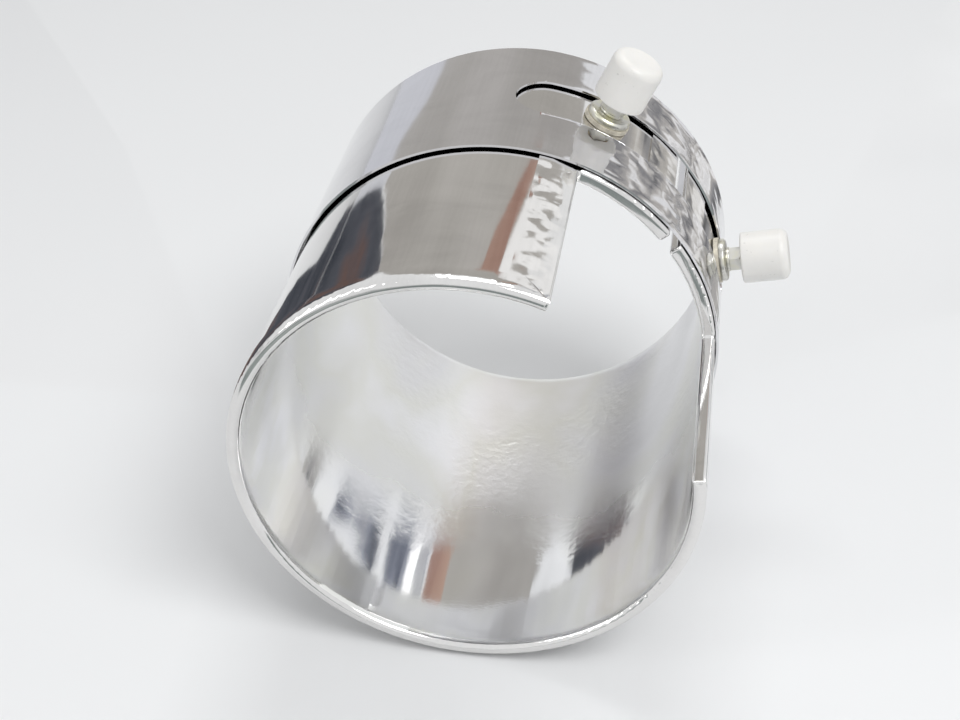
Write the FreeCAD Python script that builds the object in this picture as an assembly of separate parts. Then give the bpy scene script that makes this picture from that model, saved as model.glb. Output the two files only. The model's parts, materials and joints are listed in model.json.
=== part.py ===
"""Mica band heater with a clamp strap and two ceramic-capped terminals.

Frame: millimetres, +Z up.  The heater lies on its side: its bore runs along +Y,
the notched end faces -Y, the clamped end faces +Y, and the origin is the middle
of the bore.  Angles are counted about +Y from +Z towards +X.
"""
import FreeCAD
import Part
import math
import os
from FreeCAD import Vector

# ---------------------------------------------------------------- heater body
bore_radius = 70.0          # the barrel that the heater clamps on is 140 mm
heater_length = 152.0
sheath_gauge = 0.5          # bright stainless sheet, inside and outside
mica_gauge = 0.8            # insulating mica, inside and outside the winding
former_gauge = 0.8          # mica strip that the ribbon is wound on
layer_gap = 0.05            # between one rolled layer and the next
notch_depth = 76.0          # from the front rim to the two clamped tabs
notch_half_angle = 30.7
split_gap = 5.0             # between the two ends of the rolled sheets
side_flap = 13.5            # inner sheath folded back along notch and split
rim_hem = 7.5               # inner sheath folded back at both rims
tab_hem = 7.5               # inner sheath folded back at the front of the tabs
fold_radius = 1.2
mitre_slit = 0.8            # between two folds where they meet at a corner
layer_inset = 1.2           # rolled layers stand back this far from the outline
former_inset = 2.0          # the former stands back further, for the ribbon

# ------------------------------------------------------------- ribbon winding
ribbon_gauge = 0.15
ribbon_width = 5.0
ribbon_step = 8.0           # from a run inside the former to the next outside

# ------------------------------------------------------------------ terminals
terminal_angle = 26.5       # each side of the split
stud_radius = 2.5           # M5
stud_tip_gap = 1.2          # the stud ends this far inside the cap's insert
stud_head_radius = 6.0
stud_head_gauge = 0.65
bush_radius = 3.8
bush_wall = 1.2
hole_clearance = 0.2        # round a piece that drops into a hole
stack_gap = 0.05            # between one stacked piece and the next
mica_washer_radius = 8.0
mica_washer_gauge = 1.6
flange_radius = 7.5
flange_gauge = 2.3
flange_chamfer = 0.7
lock_washer_radius = 4.3
lock_washer_gauge = 1.0
lock_washer_slit = 0.8
nut_across_flats = 8.0
nut_height = 4.0
nut_chamfer = 0.5
thread_clearance = 0.08     # radial, between a stud or screw and its thread
cap_seat_gap = 0.15
cap_radius = 9.0
cap_length = 16.4
cap_top_round = 3.0
cap_foot_round = 0.8
insert_radius = 4.5
insert_length = 12.0
insert_recess = 0.5
insert_fit = 0.02

# ---------------------------------------------------------------- clamp strap
strap_gauge = 0.8
strap_clearance = 0.3       # over the folds of the heater body
strap_front_gap = 2.0       # the tabs show this far in front of the strap
slot_width = 23.0
slot_from_front = 38.0      # slot's centre line behind the strap's front edge
slot_half_angle = 43.0
strap_slip = 8.0            # the strap sits this many degrees off the split
bar_radius = 5.2
bar_inset = 2.0             # each end of a bar, inside the strap's edge
loop_clearance = 0.15
closure_half_gap = 17.0     # from the closure's middle to each bar
lap_length = 14.0           # rolled end welded back on the strap
screw_inset = 17.0          # each screw, inside the strap's edge
screw_radius = 2.5          # M5
screw_hole_clearance = 0.3
screw_window = 0.8          # radial, round a screw or washer in a loop
screw_head_height = 3.5
screw_head_across_flats = 8.0
screw_overhang = 3.0        # the screw's tip beyond the far loop
screw_washer_radius = 5.0
screw_washer_gauge = 1.0
bar_flat = 1.0              # milled off the plain bar under each washer

# -------------------------------------------------------- worked-out positions
front_rim = -heater_length / 2
rear_rim = heater_length / 2
notch_end = front_rim + notch_depth
inner_mica_radius = bore_radius + sheath_gauge + layer_gap
ribbon_inner_radius = inner_mica_radius + mica_gauge + layer_gap
former_radius = ribbon_inner_radius + ribbon_gauge + layer_gap
ribbon_outer_radius = former_radius + former_gauge + layer_gap
outer_mica_radius = ribbon_outer_radius + ribbon_gauge + layer_gap
outer_sheath_radius = outer_mica_radius + mica_gauge + layer_gap
outer_sheath_face = outer_sheath_radius + sheath_gauge
fold_inner_radius = outer_sheath_face + layer_gap
fold_outer_radius = fold_inner_radius + sheath_gauge
split_half_angle = math.degrees(split_gap / 2 / fold_outer_radius)

mica_washer_foot = outer_sheath_face + stack_gap
flange_foot = mica_washer_foot + mica_washer_gauge + stack_gap
lock_washer_foot = flange_foot + flange_gauge + stack_gap
nut_foot = lock_washer_foot + lock_washer_gauge + stack_gap
cap_foot = nut_foot + nut_height + cap_seat_gap
cap_top = cap_foot + cap_length
stud_tip = cap_foot + insert_recess + insert_length - stud_tip_gap

strap_inner = fold_outer_radius + strap_clearance
strap_outer = strap_inner + strap_gauge
strap_front = notch_end + strap_front_gap
strap_rear = rear_rim
terminal_place = strap_front + slot_from_front
loop_inner = bar_radius + loop_clearance
loop_outer = loop_inner + strap_gauge
loop_place = strap_inner + loop_outer
closure_half_angle = math.degrees(math.asin(closure_half_gap / loop_place))
screw_line = -math.sqrt(loop_place ** 2 - closure_half_gap ** 2)
screw_places = [strap_front + screw_inset, strap_rear - screw_inset]
washer_seat = closure_half_gap + bar_radius - bar_flat + stack_gap
screw_seat = washer_seat + screw_washer_gauge + stack_gap

# The part rests on the strap and on the lower rolled loop of the closure.
loop_rest_angle = math.degrees(math.acos((strap_outer - loop_outer) / loop_place))
strap_lean = loop_rest_angle + closure_half_angle
heater_lean = strap_lean + strap_slip

AXIS = Vector(0, 1, 0)
ORIGIN = Vector(0, 0, 0)
REACH = 2 * cap_top             # any wedge must pass the whole wall


# ------------------------------------------------------------------- geometry
def degrees_for(arc, radius):
    """Angle that an arc of this length takes up at this radius."""
    return math.degrees(arc / radius)


def place(radius, angle, along):
    """Point at a radius, an angle about +Y from +Z, and a place along Y."""
    turn = math.radians(angle)
    return Vector(radius * math.sin(turn), along, radius * math.cos(turn))


def turned(shape, angle):
    """Copy of a shape turned about the bore's axis."""
    copy = shape.copy()
    copy.rotate(ORIGIN, AXIS, angle)
    return copy


def mirrored(shape):
    """Copy of a shape on the other side of the split."""
    return shape.mirror(ORIGIN, Vector(1, 0, 0))


def tube(inner, outer, start, end):
    """Round tube about the bore's axis."""
    base = Vector(0, start, 0)
    solid = Part.makeCylinder(outer, end - start, base, AXIS)
    return solid.cut(Part.makeCylinder(inner, end - start, base, AXIS))


def sector(first, last, start, end):
    """Wedge about the bore's axis, from one angle to another."""
    steps = max(1, math.ceil((last - first) / 40))
    corners = [Vector(0, start, 0)]
    for index in range(steps + 1):
        corners.append(place(REACH, first + (last - first) * index / steps, start))
    face = Part.Face(Part.makePolygon(corners + corners[:1]))
    return face.extrude(Vector(0, end - start, 0))


def tube_sector(inner, outer, first, last, start, end):
    """Part of a tube between two angles."""
    return tube(inner, outer, start, end).common(sector(first, last, start, end))


def wall_prism(corners, angle, along, inner, outer):
    """Prism that stands on the wall at an angle; corners are (arc, along) pairs."""
    radius = fold_outer_radius
    points = [Vector(radius * math.tan(arc / radius), along + step, inner)
              for arc, step in corners]
    face = Part.Face(Part.makePolygon(points + points[:1]))
    return turned(face.extrude(Vector(0, 0, outer - inner)), angle)


def post(radius, low, high, bore=0.0):
    """Upright disc or ring in the terminals' row, between two radii."""
    base = Vector(0, terminal_place, low)
    solid = Part.makeCylinder(radius, high - low, base)
    if bore > 0:
        solid = solid.cut(Part.makeCylinder(bore, high - low, base))
    return solid


def rod(radius, start, end, along):
    """Round rod along X on the line of the clamp screws."""
    return Part.makeCylinder(radius, end - start, Vector(start, along, screw_line), Vector(1, 0, 0))


def hexagon(across_flats, height, base, direction, chamfer):
    """Hexagonal prism with the corners of its far end turned off."""
    corner = across_flats / math.sqrt(3)
    points = [Vector(corner * math.cos(math.radians(60 * step)),
                     corner * math.sin(math.radians(60 * step)), 0) for step in range(7)]
    prism = Part.Face(Part.makePolygon(points)).extrude(Vector(0, 0, height))
    solid = prism.common(Part.makeCone(corner + height - chamfer, corner - chamfer, height))
    solid.Placement = FreeCAD.Placement(base, FreeCAD.Rotation(Vector(0, 0, 1), direction))
    return solid


# ---------------------------------------------------------------- heater body
def wall_block(inner, outer, inset):
    """Rolled wall with its notch and its split, its outline drawn in by inset."""
    grow = degrees_for(inset, outer)
    wall = tube(inner, outer, front_rim + inset, rear_rim - inset)
    notch = sector(-notch_half_angle - grow, notch_half_angle + grow,
                   front_rim - sheath_gauge, notch_end + inset)
    split = sector(-split_half_angle - grow, split_half_angle + grow,
                   front_rim, rear_rim + sheath_gauge)
    return wall.cut([notch, split])


def rounded(solid, radius):
    """Solid with all its edges rounded, as folded sheet."""
    return solid.makeFillet(radius, solid.Edges)


def mitre(hem, way):
    """Outline of the gap between a side flap and a hem that meet in a corner."""
    slit = mitre_slit * math.sqrt(2)
    return [(fold_radius, way * fold_radius), (side_flap, way * side_flap),
            (side_flap + slit, way * side_flap), (side_flap + slit, way * hem),
            (hem + slit, way * hem), (fold_radius + slit, way * fold_radius)]


def fold_windows():
    """What is cut from the folded skin so that only hems and flaps are left."""
    low = fold_inner_radius - layer_gap / 2
    high = fold_outer_radius + sheath_gauge
    flap = degrees_for(side_flap, fold_outer_radius)
    body = tube_sector(low, high, notch_half_angle + flap, 360 - notch_half_angle - flap,
                       front_rim + rim_hem, rear_rim - rim_hem)
    tab = tube_sector(low, high, split_half_angle + flap, notch_half_angle + flap + 1,
                      notch_end + tab_hem, rear_rim - rim_hem)
    front_corner = wall_prism(mitre(rim_hem, 1), notch_half_angle, front_rim, low, high)
    tab_corner = wall_prism(mitre(tab_hem, 1), split_half_angle, notch_end, low, high)
    rear_corner = wall_prism(mitre(rim_hem, -1), split_half_angle, rear_rim, low, high)
    inner_corner = wall_prism([(0, 0), (side_flap, -side_flap), (side_flap + 1, -side_flap),
                               (side_flap + 1, tab_hem + 1), (-tab_hem, tab_hem + 1),
                               (-tab_hem, tab_hem)], notch_half_angle, notch_end, low, high)
    one_side = [tab, front_corner, tab_corner, rear_corner, inner_corner]
    return [body] + one_side + [mirrored(cutter) for cutter in one_side]


def inner_sheath():
    """Inside sheet of the heater, folded back over all its edges."""
    skin = rounded(wall_block(bore_radius, fold_outer_radius, 0), fold_radius)
    hollow = rounded(wall_block(bore_radius + sheath_gauge, fold_inner_radius, sheath_gauge),
                     fold_radius - sheath_gauge)
    return skin.cut(hollow).cut(fold_windows())


def with_terminal_holes(sheet, radius):
    """Sheet with a round hole under each terminal."""
    hole = post(radius, bore_radius, strap_outer)
    return sheet.cut([turned(hole, -terminal_angle), turned(hole, terminal_angle)])


def outer_sheath():
    """Outside sheet, held under the folds of the inside one."""
    sheet = wall_block(outer_sheath_radius, outer_sheath_face, layer_inset)
    return with_terminal_holes(sheet, bush_radius + hole_clearance)


def inner_mica():
    """Mica between the inside sheet and the winding."""
    return wall_block(inner_mica_radius, inner_mica_radius + mica_gauge, layer_inset)


def outer_mica():
    """Mica between the winding and the outside sheet."""
    sheet = wall_block(outer_mica_radius, outer_mica_radius + mica_gauge, layer_inset)
    return with_terminal_holes(sheet, stud_head_radius + hole_clearance)


def winding_former():
    """Mica strip that carries the ribbon."""
    return wall_block(former_radius, former_radius + former_gauge, former_inset)


def resistance_ribbon():
    """Ribbon wound round the former, each end under the head of a stud."""
    half = degrees_for(ribbon_width / 2, former_radius)
    step = degrees_for(ribbon_step, former_radius)
    rear = rear_rim - former_inset + layer_gap
    front = front_rim + former_inset - layer_gap
    tab_front = notch_end + former_inset - layer_gap
    edge = degrees_for(former_inset, former_radius) + half
    first = notch_half_angle + edge
    pairs = int((360 - 2 * first) / step / 2)
    spread = (360 - 2 * first) / (2 * pairs - 1)

    def run(angle, outside, start, end):
        radius = ribbon_outer_radius if outside else ribbon_inner_radius
        return tube_sector(radius, radius + ribbon_gauge, angle - half, angle + half, start, end)

    def bend(angle, other, edge_place, way):
        start, end = sorted([edge_place, edge_place + way * ribbon_gauge])
        return tube_sector(ribbon_inner_radius, ribbon_outer_radius + ribbon_gauge,
                           angle - half, other + half, start, end)

    runs = [terminal_angle]
    strips = [run(terminal_angle, True, terminal_place - ribbon_width, rear)]
    for index in range(2 * pairs):
        runs.append(first + spread * index)
        strips.append(run(runs[-1], index % 2 == 1, front, rear))
    for index in range(2 * pairs):
        if index % 2 == 0:
            strips.append(bend(runs[index], runs[index + 1], rear, 1))
        else:
            strips.append(bend(runs[index], runs[index + 1], front, -1))
    finish = 360 - terminal_angle
    strips.append(bend(runs[-1], finish + step, rear, 1))
    strips.append(run(finish + step, False, tab_front, rear))
    strips.append(bend(finish, finish + step, tab_front, -1))
    strips.append(run(finish, True, tab_front, terminal_place + ribbon_width))
    return strips[0].fuse(strips[1:])


# ------------------------------------------------------------------ terminals
def terminal_stud():
    """Threaded stud with a thin curved head that bears on the ribbon's end."""
    head = tube(outer_mica_radius, outer_mica_radius + stud_head_gauge,
                terminal_place - stud_head_radius, terminal_place + stud_head_radius)
    head = head.common(post(stud_head_radius, bore_radius, strap_outer))
    shank = post(stud_radius, outer_mica_radius + stud_head_gauge / 2, stud_tip)
    tip = Part.makeCone(stud_radius + stud_tip, stud_radius - 0.5, stud_tip + 0.5,
                        Vector(0, terminal_place, 0))
    return head.fuse(shank.common(tip))


def stud_bush():
    """Insulating bush round the stud, through the outer sheet."""
    return post(bush_radius, outer_mica_radius + mica_gauge, flange_foot - stack_gap,
                bush_radius - bush_wall)


def mica_washer():
    """Insulating washer between the outer sheet and the flange."""
    return post(mica_washer_radius, mica_washer_foot, flange_foot - stack_gap,
                bush_radius + hole_clearance)


def terminal_flange():
    """Plated steel flange washer under the lock washer."""
    disc = post(flange_radius, flange_foot, flange_foot + flange_gauge)
    disc = disc.makeChamfer(flange_chamfer, [disc.Edges[0]])
    return disc.cut(post(stud_radius + hole_clearance, flange_foot, flange_foot + flange_gauge))


def lock_washer():
    """Split spring washer under the nut."""
    top = lock_washer_foot + lock_washer_gauge
    ring = post(lock_washer_radius, lock_washer_foot, top, stud_radius + hole_clearance)
    slit = Part.makeBox(lock_washer_radius, lock_washer_slit, lock_washer_gauge,
                        Vector(0, terminal_place - lock_washer_slit / 2, lock_washer_foot))
    return ring.cut(slit)


def terminal_nut():
    """Hexagonal nut that clamps the stack down."""
    nut = hexagon(nut_across_flats, nut_height, Vector(0, terminal_place, nut_foot),
                  Vector(0, 0, 1), nut_chamfer)
    return nut.cut(post(stud_radius + thread_clearance, nut_foot, nut_foot + nut_height))


def ceramic_cap():
    """Thimble-shaped ceramic nut with a blind bore for its threaded insert."""
    body = post(cap_radius, cap_foot, cap_top)
    body = body.makeFillet(cap_top_round, [edge for edge in body.Edges
                                           if edge.BoundBox.ZMin > cap_top - 0.001])
    body = body.makeFillet(cap_foot_round, [edge for edge in body.Edges
                                            if edge.BoundBox.ZMax < cap_foot + 0.001])
    return body.cut(post(insert_radius + insert_fit, cap_foot,
                         cap_foot + insert_recess + insert_length))


def cap_insert():
    """Threaded metal insert pressed in the ceramic cap."""
    foot = cap_foot + insert_recess
    return post(insert_radius, foot, foot + insert_length, stud_radius + thread_clearance)


# ---------------------------------------------------------------- clamp strap
def strap_slot():
    """Long slot with round ends that the terminals stand in."""
    low = strap_inner - strap_gauge
    high = strap_outer + strap_gauge
    half = slot_width / 2
    reach = slot_half_angle - degrees_for(half, strap_outer)
    middle = tube_sector(low, high, -reach, reach, terminal_place - half, terminal_place + half)
    end = post(half, low * math.cos(math.radians(10)), high)
    return [middle, turned(end, -reach), turned(end, reach)]


def rolled_loop():
    """Strap end rolled round a bar, windows cut in it for the screws."""
    centre = Vector(closure_half_gap, strap_front, screw_line)
    loop = Part.makeCylinder(loop_outer, strap_rear - strap_front, centre, AXIS)
    cutters = [Part.makeCylinder(loop_inner, strap_rear - strap_front, centre, AXIS)]
    for along in screw_places:
        shank = screw_radius + screw_window
        head = screw_washer_radius + screw_window
        cutters.append(Part.makeBox(closure_half_gap, 2 * shank, 2 * shank,
                                    Vector(0, along - shank, screw_line - shank)))
        cutters.append(Part.makeBox(2 * loop_outer, 2 * head, 4 * loop_outer,
                                    Vector(closure_half_gap + 1, along - head,
                                           screw_line - 2 * loop_outer)))
    return loop.cut(cutters)


def clamp_strap():
    """Stainless strap with its slot and its two rolled ends."""
    ring = tube_sector(strap_inner, strap_outer, -180 + closure_half_angle,
                       180 - closure_half_angle, strap_front, strap_rear)
    lap = degrees_for(lap_length, strap_outer)
    tail = tube_sector(strap_outer, strap_outer + strap_gauge, 180 - closure_half_angle - lap,
                       180 - closure_half_angle, strap_front, strap_rear)
    centre = Vector(closure_half_gap, strap_front, screw_line)
    tail = tail.cut(Part.makeCylinder(loop_outer - strap_gauge / 2, strap_rear - strap_front,
                                      centre, AXIS))
    loop = rolled_loop()
    strap = ring.fuse([tail, loop, mirrored(tail), mirrored(loop)])
    return strap.cut(strap_slot())


def trunnion_bar():
    """Round bar in a rolled loop, on the +X side."""
    length = strap_rear - strap_front - 2 * bar_inset
    return Part.makeCylinder(bar_radius, length,
                             Vector(closure_half_gap, strap_front + bar_inset, screw_line), AXIS)


def threaded_bar():
    """Bar that the two clamp screws are screwed into."""
    bar = mirrored(trunnion_bar())
    return bar.cut([rod(screw_radius + thread_clearance, -2 * closure_half_gap, 0, along)
                    for along in screw_places])


def plain_bar():
    """Bar that the two clamp screws pass through, a flat under each washer."""
    bar = trunnion_bar()
    for along in screw_places:
        flat = screw_washer_radius + screw_window
        bar = bar.cut([rod(screw_radius + screw_hole_clearance, 0, 2 * closure_half_gap, along),
                       Part.makeBox(bar_radius, 2 * flat, 2 * bar_radius,
                                    Vector(washer_seat - stack_gap, along - flat,
                                           screw_line - bar_radius))])
    return bar


def screw_washer(along):
    """Washer under the head of a clamp screw."""
    top = washer_seat + screw_washer_gauge
    disc = rod(screw_washer_radius, washer_seat, top, along)
    return disc.cut(rod(screw_radius + screw_hole_clearance, washer_seat, top, along))


def clamp_screw(along):
    """Hexagon-head screw that pulls the two bars together."""
    head = hexagon(screw_head_across_flats, screw_head_height,
                   Vector(screw_seat, along, screw_line), Vector(1, 0, 0), nut_chamfer)
    tip = -closure_half_gap - loop_outer - screw_overhang
    shank = rod(screw_radius, tip, screw_seat, along)
    shank = shank.makeChamfer(0.5, [edge for edge in shank.Edges
                                    if edge.BoundBox.XMax < tip + 0.001])
    return head.fuse(shank)


# ---------------------------------------------------------------------- parts
def main():
    """Build every piece and write it out."""
    pieces = {}
    for name, shape in [("inner_sheath", inner_sheath()), ("outer_sheath", outer_sheath()),
                        ("inner_mica", inner_mica()), ("outer_mica", outer_mica()),
                        ("winding_former", winding_former()),
                        ("resistance_ribbon", resistance_ribbon())]:
        pieces[name] = turned(shape, heater_lean)
    for number, way in ((1, -1), (2, 1)):
        angle = heater_lean + way * terminal_angle
        for name, shape in [("terminal_stud", terminal_stud()), ("stud_bush", stud_bush()),
                            ("mica_washer", mica_washer()),
                            ("terminal_flange", terminal_flange()),
                            ("lock_washer", lock_washer()), ("terminal_nut", terminal_nut()),
                            ("ceramic_cap", ceramic_cap()), ("cap_insert", cap_insert())]:
            pieces[f"{name}_{number}"] = turned(shape, angle)
    pieces["clamp_strap"] = turned(clamp_strap(), strap_lean)
    pieces["threaded_bar"] = turned(threaded_bar(), strap_lean)
    pieces["plain_bar"] = turned(plain_bar(), strap_lean)
    for number, along in enumerate(screw_places, start=1):
        pieces[f"clamp_screw_{number}"] = turned(clamp_screw(along), strap_lean)
        pieces[f"screw_washer_{number}"] = turned(screw_washer(along), strap_lean)

    os.makedirs("parts", exist_ok=True)
    for name, shape in pieces.items():
        print(name, shape.isValid(), len(shape.Solids), len(shape.Faces), round(shape.Volume, 1))
        shape.exportStep(f"parts/{name}.step")


main()
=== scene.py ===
"""Finish for a mica band heater: its folded sheets, strap, terminals and clamp."""
import json
import math

import bpy
from mathutils import Matrix, Vector


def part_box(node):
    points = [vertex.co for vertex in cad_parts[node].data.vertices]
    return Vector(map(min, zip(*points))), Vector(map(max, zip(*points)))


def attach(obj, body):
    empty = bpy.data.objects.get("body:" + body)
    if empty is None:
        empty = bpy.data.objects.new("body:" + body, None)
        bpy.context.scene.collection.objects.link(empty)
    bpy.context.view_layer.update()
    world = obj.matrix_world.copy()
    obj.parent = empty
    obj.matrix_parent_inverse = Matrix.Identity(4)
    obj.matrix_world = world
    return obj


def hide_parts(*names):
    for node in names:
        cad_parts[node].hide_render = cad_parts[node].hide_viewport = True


bl_info = {
    "name": "Band heater finish",
    "version": (1, 0, 0),
    "blender": (4, 5, 0),
    "location": "3D View > Sidebar > Heater",
    "description": "Dresses the sheets, strap, terminals and clamp of a band heater",
    "category": "Object",
}

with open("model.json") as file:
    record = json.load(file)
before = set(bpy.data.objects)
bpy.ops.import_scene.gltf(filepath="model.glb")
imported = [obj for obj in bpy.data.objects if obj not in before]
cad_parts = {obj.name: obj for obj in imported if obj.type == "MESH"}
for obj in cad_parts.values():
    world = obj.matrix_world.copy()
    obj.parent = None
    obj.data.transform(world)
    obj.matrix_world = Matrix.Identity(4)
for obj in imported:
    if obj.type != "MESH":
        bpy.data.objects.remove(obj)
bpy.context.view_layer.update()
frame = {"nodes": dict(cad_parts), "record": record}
record = frame["record"]

MM = 0.001
STEP = math.radians(2)                  # between the lines ruled along the rolled sheets


# --------------------------------------------------------------- the frame's own places
def mount_radius():
    """Radius of the bore that the heater clamps with."""
    return record["mounts"][0]["dims"]["r_mm"] * MM


def joint(name):
    """A joint of the record."""
    return next(item for item in record["behaviour"]["joints"] if item["name"] == name)


def angle_of(point):
    """Angle about +Y, counted from +Z towards +X."""
    return math.atan2(point[0], point[2])


def radius_of(point):
    """Distance from the bore's axis."""
    return math.hypot(point[0], point[2])


BORE = mount_radius()
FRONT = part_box("inner_sheath")[0].y
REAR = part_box("inner_sheath")[1].y
STRAP_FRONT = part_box("clamp_strap")[0].y
CAP_AXES = [Vector(joint(f"cap_{number}_unscrew")["axis"]) for number in (1, 2)]
SPLIT = sum(angle_of(axis) for axis in CAP_AXES) / 2
SHEET = 0.5 * MM
INNER_FACE = BORE + SHEET
SKIN_FACE = BORE + 4.0 * MM
FOLD_INNER = SKIN_FACE + 0.05 * MM
FOLD_FACE = BORE + 4.55 * MM
STRAP_INNER = BORE + 4.85 * MM
STRAP_FACE = BORE + 5.65 * MM
TERMINAL_ROW = sum(corner.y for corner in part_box("ceramic_cap_1")) / 2
ROUND_LINES = [index * STEP for index in range(round(math.pi / STEP))]
NEAR_FACE = 0.1 * MM                    # a point this close to a rolled face is part of it
ON_FACE = 0.06 * MM                     # and this close when its height matters
NOSE_DEPTH = 1.3 * MM                   # of a rim's folded nose, from the very end
NOTCH_ARC = 40 * MM                     # from the split's middle to the notch's edge
FLAP_ARC = 53.4 * MM                    # and to the free edge of the flap beside it
HEM_WIDTH = 7.4 * MM
THREAD_RADIUS = 2.5 * MM                # outside an M5 thread


# ------------------------------------------------------------------------------ settings
def colour(name, words, value):
    """A colour that a user may change."""
    return bpy.props.FloatVectorProperty(name=name, description=words, subtype="COLOR", size=3,
                                         min=0, max=1, default=value)


def length(name, words, value):
    """A length in metres that a user may change."""
    return bpy.props.FloatProperty(name=name, description=words, subtype="DISTANCE",
                                   unit="LENGTH", min=0, default=value, precision=5)


def share(name, words, value):
    """A share from nothing to full."""
    return bpy.props.FloatProperty(name=name, description=words, subtype="FACTOR",
                                   min=0, max=1, default=value)


class HeaterSheets(bpy.types.PropertyGroup):
    """Bright-rolled sheet of the heater and its strap."""
    steel: colour("Steel", "Colour of the bright sheet", (0.78, 0.77, 0.76))
    strap: colour("Strap", "Colour of the strap's sheet", (0.74, 0.735, 0.75))
    bore: colour("Bore", "Colour inside the bore", (0.86, 0.86, 0.87))
    gloss: share("Roughness", "How blurred the sheet's reflections are", 0.06)
    haze: share("Bore haze", "Roughness of the sheet deep in the bore", 0.34)
    waviness: length("Waviness", "Height of the long waves of rolled sheet", 0.00010)
    crumple: length("Crumple", "Height of the dents along the folded edges", 0.00034)
    dimple: length("Dimples", "Height of the dimples in the bore", 0.00006)


class HeaterTerminals(bpy.types.PropertyGroup):
    """Studs, nuts, washers and ceramic caps."""
    ceramic: colour("Ceramic", "Colour of the fired steatite", (0.86, 0.85, 0.82))
    plate: colour("Plate", "Colour of the zinc plate", (0.66, 0.65, 0.61))
    brass: colour("Brass", "Colour of the threaded inserts", (0.72, 0.56, 0.30))
    pitch: length("Thread pitch", "From one thread to the next", 0.0008)
    thread: length("Thread depth", "From a thread's crest to its root", 0.00045)
    break_edge: length("Broken edge", "Width of the bevel on turned pieces", 0.00015)


class HeaterInside(bpy.types.PropertyGroup):
    """What the folded sheets close in."""
    mica: colour("Mica", "Colour of the bonded mica board", (0.62, 0.58, 0.48))
    ribbon: colour("Ribbon", "Colour of the oxidised ribbon", (0.30, 0.28, 0.27))


class HeaterStage(bpy.types.PropertyGroup):
    """Floor, light and camera."""
    floor: colour("Floor", "Colour of the floor", (0.86, 0.87, 0.88))
    reach: length("Floor size", "Half the width of the floor", 3.0)
    wall: length("Wall", "From the heater to the wall behind it", 1.5)
    lens: bpy.props.FloatProperty(name="Lens", description="Focal length in millimetres on a "
                                  "36 mm wide sensor", min=20, max=200, default=56.73)


# ------------------------------------------------------------------------------ mesh work
def deselect():
    """Nothing selected, in object mode."""
    if bpy.context.object and bpy.context.object.mode != "OBJECT":
        bpy.ops.object.mode_set(mode="OBJECT")
    bpy.ops.object.select_all(action="DESELECT")


def activate(piece):
    """Only this piece selected, and active."""
    deselect()
    piece.select_set(True)
    bpy.context.view_layer.objects.active = piece


def edit(piece):
    """Only this piece open in edit mode, all of it selected."""
    activate(piece)
    bpy.ops.object.mode_set(mode="EDIT")
    bpy.ops.mesh.select_all(action="SELECT")


def close():
    """Back to object mode."""
    bpy.ops.object.mode_set(mode="OBJECT")


def sheet_from(node, name):
    """Editable copy of a CAD node, its loose triangles merged to plain faces."""
    deselect()
    source = frame["nodes"][node]
    piece = source.copy()
    piece.data = source.data.copy()
    piece.name = piece.data.name = name
    piece.parent = None
    bpy.context.scene.collection.objects.link(piece)
    edit(piece)
    bpy.ops.mesh.remove_doubles(threshold=1e-6)
    bpy.ops.mesh.dissolve_limited(angle_limit=math.radians(0.6))
    close()
    activate(piece)
    bpy.ops.mesh.customdata_custom_splitnormals_clear()
    return piece


def rule_sheet(piece, turns, places, wanted):
    """Lines along a rolled sheet at these angles, and round it at these places."""
    edit(piece)
    bpy.ops.mesh.select_mode(type="FACE")
    bpy.ops.mesh.select_all(action="DESELECT")
    close()
    for face in piece.data.polygons:
        face.select = wanted(face.center)
    bpy.ops.object.mode_set(mode="EDIT")
    bpy.ops.mesh.hide(unselected=True)
    planes = [((0, 0, 0), (math.cos(turn), 0, -math.sin(turn))) for turn in turns]
    planes += [((0, place, 0), (0, 1, 0)) for place in places]
    for place, normal in planes:
        bpy.ops.mesh.select_all(action="SELECT")
        bpy.ops.mesh.bisect(plane_co=place, plane_no=normal)
    bpy.ops.mesh.reveal(select=False)
    bpy.ops.mesh.select_mode(type="VERT")
    close()


def spaced(start, end, step):
    """Evenly spaced values between two ends, neither end included."""
    count = max(1, round((end - start) / step))
    return [start + (end - start) * index / count for index in range(1, count)]


def true_rolled(piece, radii):
    """Brings each rolled face's points to that face's exact radius."""
    for vertex in piece.data.vertices:
        now = radius_of(vertex.co)
        for radius in radii:
            if abs(now - radius) < 0.09 * MM:
                vertex.co.x *= radius / now
                vertex.co.z *= radius / now
                break


def round_noses(piece):
    """Brings the sheet's folded ends to full rounds, inside and out."""
    edit(piece)
    bpy.ops.mesh.select_mode(type="EDGE")
    bpy.ops.mesh.select_all(action="DESELECT")
    close()
    points = piece.data.vertices
    for line in piece.data.edges:
        one, other = (points[index].co for index in line.vertices)
        flat = abs(one.y - other.y) < 1e-6 and min(abs(one.y - FRONT), abs(one.y - REAR)) < 1e-5
        line.select = flat and abs(radius_of(one) - radius_of(other)) > 1.5 * MM
    bpy.ops.object.mode_set(mode="EDIT")
    bpy.ops.mesh.subdivide(number_cuts=5)
    bpy.ops.mesh.select_mode(type="VERT")
    close()
    nose = (FOLD_FACE - BORE) / 2
    middle = BORE + nose
    for vertex in points:
        if FRONT + nose < vertex.co.y < REAR - nose:
            continue
        end = FRONT + nose if vertex.co.y < 0 else REAR - nose
        along = vertex.co.y - end
        now = radius_of(vertex.co)
        reach = math.hypot(now - middle, along)
        wanted = nose if reach > nose - 0.04 * MM else min(reach, nose - 0.5 * MM)
        if reach > 1e-6:
            vertex.co.y = end + along * wanted / reach
            factor = (middle + (now - middle) * wanted / reach) / now
            vertex.co.x *= factor
            vertex.co.z *= factor


def group(piece, name, weight):
    """Vertex group, weighted by each point's place."""
    made = piece.vertex_groups.new(name=name)
    for vertex in piece.data.vertices:
        value = weight(vertex.co)
        if value > 0:
            made.add([vertex.index], min(1.0, value), "REPLACE")


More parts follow.
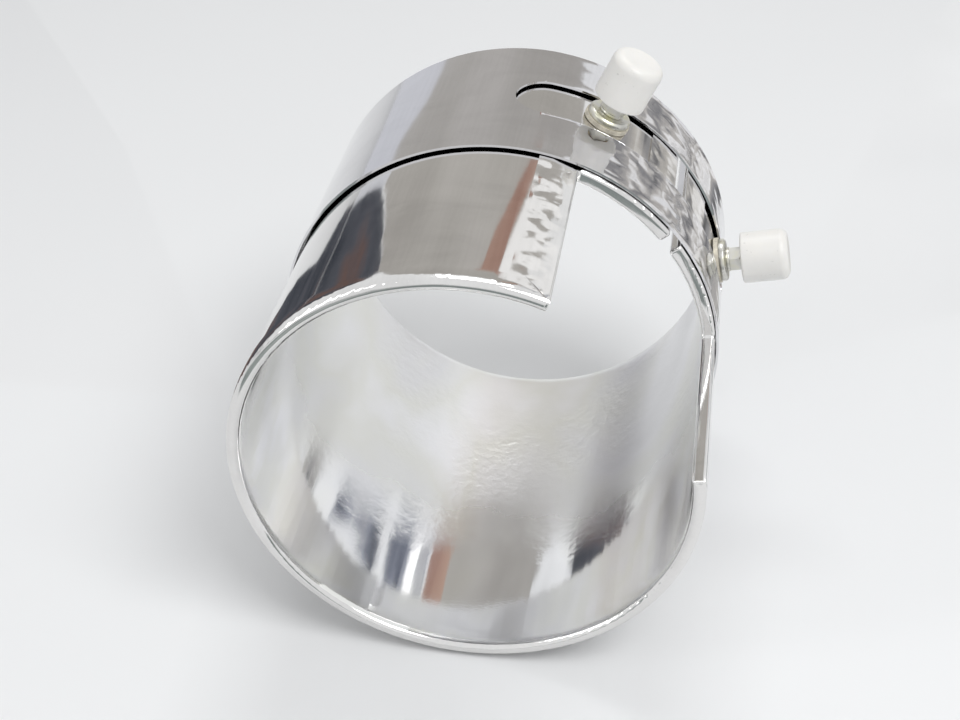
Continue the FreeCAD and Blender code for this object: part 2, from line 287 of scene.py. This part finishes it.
def dented(piece, size, height, where, depth=1, level=0.5):
    """Dents or waves of one size and height, where a vertex group says."""
    texture = bpy.data.textures.new(f"{piece.name}_{where}", "CLOUDS")
    texture.noise_scale = size
    texture.noise_depth = depth
    activate(piece)
    displace = piece.modifiers.new(where, "DISPLACE")
    displace.texture = texture
    displace.texture_coords = "LOCAL"
    displace.strength = height
    displace.mid_level = level
    displace.vertex_group = where
    bpy.ops.object.modifier_apply(modifier=displace.name)


def smooth(piece, angle=32):
    """Smooth shading up to an angle between faces."""
    activate(piece)
    bpy.ops.object.shade_smooth_by_angle(angle=math.radians(angle))


def ramp_up(value, start, end):
    """0 at start, 1 at end, smooth between."""
    share_of_way = max(0.0, min(1.0, (value - start) / (end - start)))
    return share_of_way * share_of_way * (3 - 2 * share_of_way)


def from_ends(point):
    """Distance from the nearer rim, along the bore."""
    return min(point.y - FRONT, REAR - point.y)


def around_split(point):
    """Arc from the split's middle, in metres at the folds, positive towards +X."""
    turn = (angle_of(point) - SPLIT + math.pi) % (2 * math.pi) - math.pi
    return turn * FOLD_FACE


# ------------------------------------------------------------------------------ materials
def material(name, metallic, roughness):
    """New material with its shader and node tree at hand."""
    made = bpy.data.materials.new(name)
    made.use_nodes = True
    shader = made.node_tree.nodes["Principled BSDF"]
    shader.inputs["Metallic"].default_value = metallic
    shader.inputs["Roughness"].default_value = roughness
    return made, shader


def add(made, kind, **values):
    """Node with its properties and input values set."""
    node = made.node_tree.nodes.new(kind)
    for name, value in values.items():
        if name in node.inputs:
            node.inputs[name].default_value = value
        else:
            setattr(node, name, value)
    return node


def link(made, start, end):
    """Link from one socket to another."""
    made.node_tree.links.new(start, end)


def ramp(made, source, stops):
    """Colour ramp fed by a socket; stops are (place, colour) pairs."""
    node = made.node_tree.nodes.new("ShaderNodeValToRGB")
    band = node.color_ramp
    while len(band.elements) < len(stops):
        band.elements.new(0.5)
    for element, (place, value) in zip(band.elements, stops):
        element.position = place
        element.color = (*value, 1)
    link(made, source, node.inputs["Fac"])
    return node.outputs["Color"]


def grey(value):
    """A neutral colour."""
    return (value, value, value)


def noise(made, scale, detail=3.0, stretch=None, rough=0.5, distortion=0.0):
    """Noise in object space; stretch scales it along each axis."""
    place = add(made, "ShaderNodeTexCoord")
    node = add(made, "ShaderNodeTexNoise", Scale=scale, Detail=detail, Roughness=rough,
               Distortion=distortion)
    source = place.outputs["Object"]
    if stretch:
        mapping = add(made, "ShaderNodeMapping", Scale=stretch)
        link(made, source, mapping.inputs["Vector"])
        source = mapping.outputs["Vector"]
    link(made, source, node.inputs["Vector"])
    return node.outputs["Fac"]


def scaled(tint, factor):
    """A colour made lighter or darker."""
    return tuple(min(1.0, part * factor) for part in tint)


def mixed(made, kind, factor, first, second):
    """Mix of two colours; factor may be a socket or a number."""
    node = add(made, "ShaderNodeMix", data_type="RGBA", blend_type=kind)
    for index, value in ((0, factor), (6, first), (7, second)):
        if hasattr(value, "links"):
            link(made, value, node.inputs[index])
        else:
            node.inputs[index].default_value = value if index == 0 else (*value, 1)
    return node.outputs[2]


def roughened(made, shader, source, low, high):
    """Roughness that runs from low to high with a socket."""
    span = add(made, "ShaderNodeMapRange")
    link(made, source, span.inputs["Value"])
    span.inputs["To Min"].default_value = low
    span.inputs["To Max"].default_value = high
    link(made, span.outputs["Result"], shader.inputs["Roughness"])


def bumped(made, shader, source, height, distance, under=None):
    """Bump of one height from a socket, on top of another bump if given."""
    bump = add(made, "ShaderNodeBump", Strength=height, Distance=distance)
    link(made, source, bump.inputs["Height"])
    if under:
        link(made, under, bump.inputs["Normal"])
    link(made, bump.outputs["Normal"], shader.inputs["Normal"])
    return bump.outputs["Normal"]


def sheet_material(name, tint, roughness, smears, grain):
    """Mirror-bright sheet: faint cloudy smears, finger marks and the mill's fine grain."""
    made, shader = material(name, 1.0, roughness)
    smear = noise(made, 30.0, 4.0, (1.0, 1.6, 1.0), 0.55, 0.8)
    marks = noise(made, 95.0, 3.0)
    lines = noise(made, 900.0, 2.0, (1.0, 0.04, 1.0))
    shade = ramp(made, smear, [(0.30, scaled(tint, 1.0 - smears)), (0.50, tint),
                               (0.72, scaled(tint, 1.0 + smears / 2))])
    veil = ramp(made, lines, [(0.35, grey(0.975)), (0.6, grey(1.0))])
    link(made, mixed(made, "MULTIPLY", 1.0, shade, veil), shader.inputs["Base Color"])
    roughened(made, shader, smear, roughness * 0.6, roughness * 1.7)
    bumped(made, shader, marks, grain, 0.0002)
    return made


def bore_sheet(tint, clear, hazy):
    """Sheet inside the bore: bright at the mouth, hazy and pebbled further in."""
    made, shader = material("bore_sheet", 1.0, clear)
    place = add(made, "ShaderNodeTexCoord")
    split = add(made, "ShaderNodeSeparateXYZ")
    link(made, place.outputs["Object"], split.inputs["Vector"])
    depth = add(made, "ShaderNodeMapRange")
    link(made, split.outputs["Y"], depth.inputs["Value"])
    depth.inputs["From Min"].default_value = -45 * MM
    depth.inputs["From Max"].default_value = 15 * MM
    patchy = noise(made, 34.0, 4.0, None, 0.6)
    edge = mixed(made, "OVERLAY", 0.75, depth.outputs["Result"], patchy)
    haze = ramp(made, edge, [(0.12, grey(0.0)), (0.42, grey(0.62)), (0.72, grey(1.0))])
    roughened(made, shader, haze, clear, hazy)
    stain = noise(made, 17.0, 3.0, (1.0, 0.7, 1.0), 0.5, 0.4)
    shade = ramp(made, stain, [(0.32, scaled(tint, 0.88)), (0.46, tint),
                               (0.60, (tint[0], tint[1], tint[2] * 0.95)),
                               (0.72, scaled(tint, 1.08))])
    link(made, shade, shader.inputs["Base Color"])
    pebbles = noise(made, 300.0, 2.0)
    where = ramp(made, noise(made, 24.0, 2.0), [(0.45, grey(0.25)), (0.60, grey(1.0))])
    raised = mixed(made, "MULTIPLY", 1.0, mixed(made, "MULTIPLY", 1.0, pebbles, where), haze)
    under = bumped(made, shader, raised, 0.6, 0.0004)
    bumped(made, shader, noise(made, 1400.0, 2.0), 0.05, 0.0001, under)
    return made


def finish_node(name, made):
    """A CAD node's slots all take one material."""
    slots = frame["nodes"][name].data.materials
    for index in range(len(slots)):
        slots[index] = made


def dress(piece, made, body, slot, *nodes):
    """Material, body and the CAD nodes that a new piece stands for."""
    piece.data.materials.clear()
    for item in made if isinstance(made, list) else [made]:
        piece.data.materials.append(item)
    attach(piece, body)
    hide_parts(*nodes)


# ------------------------------------------------------------------------------ operators
class HEATER_OT_inner_sheath(bpy.types.Operator):
    """Inside sheet, with the hems and flaps that it folds back over the outside one"""
    bl_idname = "heater.inner_sheath"
    bl_label = "Inner sheath"

    def execute(self, context):
        sizes = context.scene.heater_sheets
        piece = sheet_from("inner_sheath", "folded_sheath")

        def shown(point):
            return (radius_of(point) < BORE + NEAR_FACE or from_ends(point) < NOSE_DEPTH
                    or radius_of(point) > FOLD_FACE - NEAR_FACE)

        def flaps(point):
            return abs(around_split(point)) < 56 * MM and (
                radius_of(point) > FOLD_FACE - NEAR_FACE or from_ends(point) < NOSE_DEPTH)

        rule_sheet(piece, ROUND_LINES, spaced(FRONT, REAR, 4 * MM), shown)
        rule_sheet(piece, [SPLIT + math.radians(turn) for turn in spaced(-44, 44, 1.0)],
                   spaced(FRONT, REAR, 1.5 * MM), flaps)
        true_rolled(piece, (BORE, INNER_FACE, FOLD_INNER, FOLD_FACE))
        round_noses(piece)

        def flap(point):
            if radius_of(point) < FOLD_FACE - ON_FACE:
                return 0.0
            arc = abs(around_split(point))
            notch = ramp_up(arc, 41.5 * MM, 44 * MM) * ramp_up(-arc, -FLAP_ARC, -51.5 * MM)
            tabs = ramp_up(-arc, -NOTCH_ARC, -38 * MM) * ramp_up(arc, 3.5 * MM, 5 * MM)
            inland = ramp_up(from_ends(point), 1.5 * MM, 4 * MM)
            return inland * max(notch * ramp_up(-point.y, -1 * MM, 3 * MM), tabs * 0.6)

        def hem(point):
            if radius_of(point) < FOLD_FACE - ON_FACE:
                return 0.0
            edge = from_ends(point)
            return ramp_up(edge, 2.2 * MM, 4.2 * MM) * ramp_up(-edge, -HEM_WIDTH, -6.4 * MM)

        def bore(point):
            if radius_of(point) > BORE + NEAR_FACE:
                return 0.0
            return ramp_up(from_ends(point), 1 * MM, 6 * MM)

        group(piece, "flap", flap)
        group(piece, "hem", hem)
        group(piece, "bore", bore)
        dented(piece, 9 * MM, sizes.crumple * 1.2, "flap")
        dented(piece, 3.2 * MM, sizes.crumple * 0.5, "flap")
        dented(piece, 14 * MM, sizes.crumple * 0.4, "hem")
        dented(piece, 11 * MM, sizes.dimple, "bore")
        folds = sheet_material("bright_folds", sizes.steel, sizes.gloss * 1.2, 0.08, 0.06)
        inside = bore_sheet(sizes.bore, sizes.gloss * 1.1, sizes.haze)
        dress(piece, [folds, inside], "heater", "polished_sheet", "inner_sheath")
        for face in piece.data.polygons:
            face.material_index = int(radius_of(face.center) < BORE + SHEET / 2)
        smooth(piece)
        return {"FINISHED"}


class HEATER_OT_outer_sheath(bpy.types.Operator):
    """Outside sheet, smooth and mirror bright"""
    bl_idname = "heater.outer_sheath"
    bl_label = "Outer sheath"

    def execute(self, context):
        sizes = context.scene.heater_sheets
        piece = sheet_from("outer_sheath", "outer_skin")
        rule_sheet(piece, ROUND_LINES, spaced(FRONT, REAR, 5 * MM),
                   lambda point: radius_of(point) > SKIN_FACE - NEAR_FACE)
        true_rolled(piece, (SKIN_FACE - SHEET, SKIN_FACE))

        def open_skin(point):
            if radius_of(point) < SKIN_FACE - ON_FACE:
                return 0.0
            inland = ramp_up(from_ends(point), 8 * MM, 16 * MM)
            clear = ramp_up(-point.y, -2 * MM, 6 * MM)
            return inland * clear * ramp_up(abs(around_split(point)), 54 * MM, 62 * MM)

        group(piece, "open_skin", open_skin)
        dented(piece, 34 * MM, sizes.waviness, "open_skin", 0)
        skin = sheet_material("bright_skin", sizes.steel, sizes.gloss * 0.8, 0.07, 0.03)
        dress(piece, skin, "heater", "polished_sheet", "outer_sheath")
        smooth(piece)
        return {"FINISHED"}


class HEATER_OT_clamp_strap(bpy.types.Operator):
    """Slotted strap with its rolled ends"""
    bl_idname = "heater.clamp_strap"
    bl_label = "Clamp strap"

    def execute(self, context):
        sizes = context.scene.heater_sheets
        piece = sheet_from("clamp_strap", "strap_band")

        def outside(point):
            return abs(radius_of(point) - STRAP_FACE) < NEAR_FACE

        def crumpled(point):
            return outside(point) and math.radians(8) < angle_of(point) < math.radians(95)

        rule_sheet(piece, ROUND_LINES,
                   spaced(STRAP_FRONT, REAR, 4 * MM), outside)

        fine = [math.radians(turn) for turn in spaced(8, 95, 1.0)]
        rule_sheet(piece, fine, spaced(STRAP_FRONT, REAR, 1.25 * MM), crumpled)
        true_rolled(piece, (STRAP_INNER, STRAP_FACE))

        def band(point):
            return float(abs(radius_of(point) - STRAP_FACE) <= ON_FACE)

        def dents(point):
            turn = math.degrees(angle_of(point))
            edge = min(point.y - STRAP_FRONT, REAR - point.y)
            return band(point) * ramp_up(turn, 12, 24) * ramp_up(-turn, -92, -84) * ramp_up(
                edge, 0.0, 2.5 * MM)

        group(piece, "band", band)
        group(piece, "dents", dents)
        dented(piece, 30 * MM, sizes.waviness * 1.3, "band", 0, 1.0)
        dented(piece, 10 * MM, sizes.crumple * 1.1, "dents", 1, 0.8)
        dented(piece, 3.5 * MM, sizes.crumple * 0.35, "dents", 1, 0.8)
        steel = sheet_material("bright_strap", sizes.strap, sizes.gloss, 0.06, 0.03)
        dress(piece, steel, "strap", "strap_sheet", "clamp_strap")
        smooth(piece)
        return {"FINISHED"}


def threaded(node, name, base, axis, start, end, root):
    """Copy of a CAD stud or screw, turned down to its root, with a thread wound on it."""
    sizes = bpy.context.scene.heater_terminals
    sunk = root - 0.06 * MM
    half = sizes.pitch * 0.46
    piece = sheet_from(node, name)
    turn = Vector((0, 0, 1)).rotation_difference(axis).to_matrix().to_4x4()
    place = Matrix.Translation(base) @ turn
    back = place.inverted()
    crest = root + sizes.thread
    for vertex in piece.data.vertices:
        local = back @ vertex.co
        reach = math.hypot(local.x, local.y)
        if start - 0.5 * MM < local.z and crest - 0.2 * MM < reach < crest + 0.2 * MM:
            local.x *= root / reach
            local.y *= root / reach
            vertex.co = place @ local
    deselect()
    bpy.ops.mesh.primitive_circle_add(vertices=3, radius=sizes.pitch * 0.52, location=(0, 0, 0))
    ridge = bpy.context.object
    corners = [(sunk, -half), (sunk, half), (crest, 0.0)]
    for vertex, (reach, rise) in zip(ridge.data.vertices, corners):
        vertex.co = (reach, 0, rise + start + sizes.pitch)
    turns = int((end - start) / sizes.pitch) - 2
    wind = ridge.modifiers.new("wind", "SCREW")
    wind.axis = "Z"
    wind.screw_offset = sizes.pitch
    wind.iterations = turns
    wind.steps = wind.render_steps = 20
    bpy.ops.object.modifier_apply(modifier=wind.name)
    edit(ridge)
    bpy.ops.mesh.select_all(action="DESELECT")
    bpy.ops.mesh.select_mode(type="EDGE")
    bpy.ops.mesh.select_non_manifold()
    bpy.ops.mesh.fill_holes(sides=0)
    bpy.ops.mesh.select_all(action="SELECT")
    bpy.ops.mesh.normals_make_consistent(inside=False)
    bpy.ops.mesh.select_mode(type="VERT")
    close()
    ridge.matrix_world = place
    activate(ridge)
    bpy.ops.object.transform_apply(location=True, rotation=True, scale=True)
    activate(piece)
    ridge.select_set(True)
    bpy.ops.object.join()
    smooth(piece, 25)
    return piece


def plated(name, tint, roughness=0.28):
    """Zinc plate: pale, a little cloudy, with a faint warm bloom."""
    made, shader = material(name, 1.0, roughness)
    cloud = noise(made, 420.0, 3.0)
    bloom = noise(made, 160.0, 2.0)
    shade = ramp(made, bloom, [(0.35, scaled(tint, 0.82)), (0.5, tint),
                               (0.7, (tint[0] * 1.06, tint[1] * 1.05, tint[2] * 0.86))])
    link(made, shade, shader.inputs["Base Color"])
    roughened(made, shader, cloud, roughness * 0.7, roughness * 1.5)
    bumped(made, shader, cloud, 0.08, 0.0001)
    return made


def broken_edges(name, width):
    """Merges a CAD node's triangles and breaks its sharp edges, as modifiers."""
    node = frame["nodes"][name]
    weld = node.modifiers.new("weld", "WELD")
    weld.merge_threshold = 1e-6
    bevel = node.modifiers.new("break", "BEVEL")
    bevel.width = width
    bevel.segments = 2
    bevel.limit_method = "ANGLE"
    bevel.angle_limit = math.radians(40)


class HEATER_OT_terminals(bpy.types.Operator):
    """Threaded studs with their flanges, washers and nuts"""
    bl_idname = "heater.terminals"
    bl_label = "Terminals"

    def execute(self, context):
        sizes = context.scene.heater_terminals
        zinc = plated("zinc_plate", sizes.plate)
        stud_steel = plated("stud_steel", scaled(sizes.plate, 0.92), 0.32)
        for number, axis in zip((1, 2), CAP_AXES):
            node = f"terminal_stud_{number}"
            tip = max(corner for corner in (Vector(c.co).dot(axis)
                                            for c in frame["nodes"][node].data.vertices))
            piece = threaded(node, f"stud_{number}", Vector((0, TERMINAL_ROW, 0)), axis,
                             BORE + 8 * MM, tip - 0.4 * MM, THREAD_RADIUS - sizes.thread)
            dress(piece, stud_steel, "heater", "plated_steel", node)
            for part in ("terminal_flange", "lock_washer", "terminal_nut"):
                finish_node(f"{part}_{number}", zinc)
                broken_edges(f"{part}_{number}", sizes.break_edge)
        return {"FINISHED"}


class HEATER_OT_ceramic_caps(bpy.types.Operator):
    """Fired steatite caps and bushes, with the caps' brass inserts"""
    bl_idname = "heater.ceramic_caps"
    bl_label = "Ceramic caps"

    def execute(self, context):
        sizes = context.scene.heater_terminals
        fired, shader = material("fired_steatite", 0.0, 0.42)
        cloud = noise(fired, 55.0, 4.0)
        speck = noise(fired, 900.0, 2.0)
        tone = ramp(fired, cloud, [(0.3, scaled(sizes.ceramic, 0.94)), (0.6, sizes.ceramic)])
        dots = ramp(fired, speck, [(0.24, grey(0.72)), (0.31, grey(1.0))])
        link(fired, mixed(fired, "MULTIPLY", 0.7, tone, dots), shader.inputs["Base Color"])
        roughened(fired, shader, cloud, 0.34, 0.5)
        bumped(fired, shader, speck, 0.12, 0.0001)
        shader.inputs["Subsurface Weight"].default_value = 0.08
        shader.inputs["Subsurface Radius"].default_value = (0.0015, 0.0013, 0.001)
        shader.inputs["Coat Weight"].default_value = 0.15
        shader.inputs["Coat Roughness"].default_value = 0.25
        brass = plated("machined_brass", sizes.brass, 0.25)
        for number in (1, 2):
            finish_node(f"ceramic_cap_{number}", fired)
            finish_node(f"stud_bush_{number}", fired)
            finish_node(f"cap_insert_{number}", brass)
        return {"FINISHED"}


class HEATER_OT_closure(bpy.types.Operator):
    """Bars in the strap's rolled ends, with the clamp screws and washers"""
    bl_idname = "heater.closure"
    bl_label = "Closure"

    def execute(self, context):
        sizes = context.scene.heater_terminals
        zinc = plated("screw_plate", sizes.plate, 0.3)
        turned = plated("turned_bar", scaled(sizes.plate, 0.95), 0.22)
        for name in ("threaded_bar", "plain_bar"):
            finish_node(name, turned)
            broken_edges(name, sizes.break_edge * 2)
        for number in (1, 2):
            finish_node(f"screw_washer_{number}", zinc)
            broken_edges(f"screw_washer_{number}", sizes.break_edge)
            node = f"clamp_screw_{number}"
            hinge = joint(f"{node}_turn")
            axis = -Vector(hinge["axis"])
            base = Vector(hinge["pos_m"])
            reach = [(vertex.co - base).dot(axis) for vertex in frame["nodes"][node].data.vertices]
            piece = threaded(node, f"screw_{number}", base, axis, -10 * MM, max(reach) - 0.5 * MM,
                             THREAD_RADIUS - sizes.thread)
            dress(piece, zinc, f"screw_{number}", "plated_steel", node)
        return {"FINISHED"}


class HEATER_OT_hidden_layers(bpy.types.Operator):
    """Mica sheets, former and resistance ribbon"""
    bl_idname = "heater.hidden_layers"
    bl_label = "Hidden layers"

    def execute(self, context):
        sizes = context.scene.heater_inside
        board, shader = material("mica_board", 0.0, 0.5)
        flakes = noise(board, 300.0, 5.0, None, 0.65)
        patch = noise(board, 60.0, 3.0)
        tone = ramp(board, flakes, [(0.3, scaled(sizes.mica, 0.7)), (0.5, sizes.mica),
                                    (0.72, scaled(sizes.mica, 1.35))])
        veil = ramp(board, patch, [(0.3, grey(0.85)), (0.6, grey(1.0))])
        link(board, mixed(board, "MULTIPLY", 1.0, tone, veil), shader.inputs["Base Color"])
        roughened(board, shader, flakes, 0.35, 0.6)
        bumped(board, shader, flakes, 0.2, 0.0001)
        for name in ("inner_mica", "outer_mica", "winding_former", "mica_washer_1",
                     "mica_washer_2"):
            finish_node(name, board)
        for number in (1, 2):
            broken_edges(f"mica_washer_{number}", 0.1 * MM)
        finish_node("resistance_ribbon", plated("oxidised_ribbon", sizes.ribbon, 0.45))
        return {"FINISHED"}


def softbox(name, place, target, width, height, power):
    """Area lamp turned towards a point."""
    lamp = bpy.data.lights.new(name, "AREA")
    lamp.shape = "RECTANGLE"
    lamp.size, lamp.size_y = width, height
    lamp.energy = power
    holder = bpy.data.objects.new(name, lamp)
    holder.location = place
    holder.rotation_euler = (Vector(target) - Vector(place)).to_track_quat("-Z", "Y").to_euler()
    bpy.context.scene.collection.objects.link(holder)


def room_light(pale, ambient):
    """World: pale where it is seen, directly or in metal, and plain soft light."""
    world = bpy.data.worlds.new("soft_room")
    world.use_nodes = True
    bpy.context.scene.world = world
    back = world.node_tree.nodes["Background"]
    path = add(world, "ShaderNodeLightPath")
    seen = path.outputs["Is Camera Ray"]
    for kind in ("Is Glossy Ray", "Is Transmission Ray"):
        either = add(world, "ShaderNodeMath", operation="MAXIMUM")
        link(world, seen, either.inputs[0])
        link(world, path.outputs[kind], either.inputs[1])
        seen = either.outputs["Value"]
    link(world, mixed(world, "MIX", seen, ambient, pale), back.inputs["Color"])
    back.inputs["Strength"].default_value = 1.0


def glowing(name, stops, scale, stretch, detail=2.0):
    """Emission that drifts between a few colours."""
    made = bpy.data.materials.new(name)
    made.use_nodes = True
    nodes = made.node_tree.nodes
    nodes.remove(nodes["Principled BSDF"])
    shader = add(made, "ShaderNodeEmission", Strength=1.0)
    link(made, ramp(made, noise(made, scale, detail, stretch), stops), shader.inputs["Color"])
    link(made, shader.outputs["Emission"], nodes["Material Output"].inputs["Surface"])
    return made


def panel(name, made, corners):
    """Flat panel that only shows in the polished sheets, as a wall or flag of a room does."""
    deselect()
    bpy.ops.mesh.primitive_circle_add(vertices=len(corners), radius=1, fill_type="NGON",
                                      location=(0, 0, 0))
    piece = bpy.context.object
    piece.name = name
    for vertex, corner in zip(piece.data.vertices, corners):
        vertex.co = corner
    piece.data.materials.append(made)
    for ray in ("camera", "diffuse", "transmission", "volume_scatter", "shadow"):
        setattr(piece, f"visible_{ray}", False)


def behind(depth, *places):
    """Corners on an upright plane behind the heater."""
    return [(across, depth, height) for across, height in places]


def on_floor(*places):
    """Corners just above the floor."""
    return [(across, along, -STRAP_FACE) for across, along in places]


def room_panels(wall):
    """What stands round the heater and shows in its bright sheets."""
    near = wall - 0.02
    dark = glowing("dark_corner", [(0.35, (0.045, 0.050, 0.062)), (0.52, (0.095, 0.100, 0.118)),
                                   (0.62, (0.16, 0.10, 0.085)), (0.75, (0.10, 0.11, 0.13))],
                   5.0, (1.0, 1.0, 0.35), 4.0)
    warm = glowing("grey_wall", [(0.30, (0.37, 0.355, 0.335)), (0.55, (0.47, 0.455, 0.43)),
                                 (0.75, (0.56, 0.54, 0.52))], 1.3, None)
    brown = glowing("brown_board", [(0.3, (0.36, 0.22, 0.18)), (0.7, (0.52, 0.36, 0.29))],
                    4.0, (1.0, 1.0, 0.4))
    light = glowing("white_screen", [(0.3, grey(0.92)), (0.7, grey(1.05))], 3.0, None)
    lilac = glowing("pale_wall", [(0.3, (0.62, 0.635, 0.68)), (0.7, (0.70, 0.71, 0.75))],
                    2.0, None)
    bench = glowing("bench_top", [(0.35, (0.24, 0.27, 0.27)), (0.55, (0.36, 0.40, 0.39)),
                                  (0.70, (0.55, 0.56, 0.56))], 6.0, None, 3.0)
    window = glowing("window", [(0.3, grey(1.35)), (0.7, grey(1.6))], 3.0, None)
    mixed_up = glowing("cluttered_side", [(0.34, grey(0.06)), (0.40, (0.30, 0.30, 0.31)),
                                          (0.52, (0.55, 0.53, 0.50)), (0.60, grey(1.0)),
                                          (0.72, (0.34, 0.33, 0.33))], 5.0, None, 3.0)
    streaked = glowing("streaked_side", [(0.36, (0.07, 0.08, 0.11)), (0.50, (0.26, 0.28, 0.34)),
                                         (0.60, (0.62, 0.62, 0.63)), (0.70, (0.20, 0.21, 0.26))],
                       9.0, (1.0, 1.0, 0.25), 3.0)
    panel("grey_wall", warm, behind(wall, (-0.96, 0.24), (-0.96, 1.9), (0.40, 1.9), (0.40, 0.75)))
    panel("pale_wall", lilac, behind(wall, (-1.03, -0.07), (-0.97, 0.24), (-0.55, 0.40),
                                     (-0.55, -0.07)))
    panel("dark_corner", dark, behind(near, (-1.7, -0.07), (-1.7, 0.72), (-0.95, 0.66),
                                      (-0.96, 0.22), (-1.02, -0.07)))
    panel("dark_floor", dark, on_floor((-0.60, 0.03), (-1.8, 1.47), (-1.00, 1.47),
                                       (-0.70, 1.00), (-0.55, 0.75), (-0.415, 0.50),
                                       (-0.235, 0.25), (-0.12, 0.05)))
    panel("bench_top", bench, on_floor((-0.55, -0.22), (0.50, -0.22), (0.50, -0.80),
                                       (-0.55, -0.80)))
    panel("brown_board", brown, behind(near, (-0.16, 1.14), (0.05, 1.14), (0.13, 0.88),
                                       (0.06, 0.90)))
    panel("white_screen", light, behind(near, (0.06, 1.13), (0.56, 1.13), (0.56, 0.92),
                                        (0.135, 0.90)))
    panel("brown_door", brown, behind(near, (0.17, 1.34), (0.17, 1.56), (0.42, 1.52),
                                      (0.42, 1.32)))
    panel("streaked_side", streaked, behind(near, (0.45, 1.20), (0.45, 1.52), (0.95, 1.40),
                                            (0.95, 1.05)))
    panel("window", window, behind(near - 0.02, (0.56, 1.24), (0.56, 1.46), (0.68, 1.43),
                                   (0.68, 1.20)))
    panel("streaked_post", streaked, behind(near, (1.02, 1.05), (1.12, 1.05), (1.42, 0.28),
                                            (1.26, 0.28)))
    panel("cluttered_side", mixed_up, behind(near, (0.50, -0.07), (0.50, 0.80), (0.72, 0.72),
                                             (0.97, 0.35), (0.97, -0.07)))
    panel("cluttered_floor", mixed_up, on_floor((0.09, 0.10), (0.48, 1.45), (1.05, 1.45),
                                                (0.40, 0.30)))


class HEATER_OT_stage(bpy.types.Operator):
    """Pale floor, soft light and the camera"""
    bl_idname = "heater.stage"
    bl_label = "Stage"

    def execute(self, context):
        sizes = context.scene.heater_stage
        deselect()
        bpy.ops.mesh.primitive_plane_add(size=2 * sizes.reach,
                                         location=(0, 0, -STRAP_FACE - 0.3 * MM))
        floor = context.object
        floor.name = "floor"
        made, shader = material("pale_floor", 0.0, 0.75)
        cloud = noise(made, 3.0, 3.0)
        link(made, ramp(made, cloud, [(0.3, scaled(sizes.floor, 0.985)), (0.7, sizes.floor)]),
             shader.inputs["Base Color"])
        floor.data.materials.append(made)
        room_light((0.90, 0.91, 0.92), grey(0.46))
        room_panels(sizes.wall)
        softbox("key", (0.65, -0.55, 1.25), (0, 0, 0), 0.8, 0.6, 11)
        softbox("back", (-0.1, 0.9, 1.9), (0, 0, 0), 1.0, 0.5, 8)
        softbox("side", (-1.10, -0.60, 0.55), (0, 0, 0), 0.3, 0.9, 2)

        camera = bpy.data.cameras.new("camera")
        camera.lens = sizes.lens
        camera.sensor_width = 36
        camera.clip_start, camera.clip_end = 0.01, 20
        holder = bpy.data.objects.new("camera", camera)
        holder.location = (0.0612, -0.4225, 0.3030)
        look = Vector((-0.1272, 0.7989, -0.5879))
        holder.rotation_euler = look.to_track_quat("-Z", "Y").to_euler()
        context.scene.collection.objects.link(holder)
        context.scene.camera = holder
        context.scene.view_settings.view_transform = "Standard"
        return {"FINISHED"}


OPERATORS = (HEATER_OT_inner_sheath, HEATER_OT_outer_sheath, HEATER_OT_clamp_strap,
             HEATER_OT_terminals, HEATER_OT_ceramic_caps, HEATER_OT_closure,
             HEATER_OT_hidden_layers, HEATER_OT_stage)
SETTINGS = {"heater_sheets": HeaterSheets, "heater_terminals": HeaterTerminals,
            "heater_inside": HeaterInside, "heater_stage": HeaterStage}


class HEATER_PT_panel(bpy.types.Panel):
    """Every step, in the order it is run, with its settings"""
    bl_idname = "HEATER_PT_panel"
    bl_label = "Band heater"
    bl_space_type = "VIEW_3D"
    bl_region_type = "UI"
    bl_category = "Heater"

    def draw(self, context):
        column = self.layout.column(align=True)
        for step in OPERATORS:
            column.operator(step.bl_idname)
        for name, kind in SETTINGS.items():
            box = self.layout.box()
            for item in kind.__annotations__:
                box.prop(getattr(context.scene, name), item)


def register():
    """Adds the settings, steps and panel."""
    for kind in (*SETTINGS.values(), *OPERATORS, HEATER_PT_panel):
        bpy.utils.register_class(kind)
    for name, kind in SETTINGS.items():
        setattr(bpy.types.Scene, name, bpy.props.PointerProperty(type=kind))


def unregister():
    """Takes them away again."""
    for name in SETTINGS:
        delattr(bpy.types.Scene, name)
    for kind in (HEATER_PT_panel, *reversed(OPERATORS), *reversed(SETTINGS.values())):
        bpy.utils.unregister_class(kind)


def main():
    """Runs every step in order."""
    register()
    for step in OPERATORS:
        group_name, step_name = step.bl_idname.split(".")
        getattr(getattr(bpy.ops, group_name), step_name)()


if __name__ == "__main__":
    main()
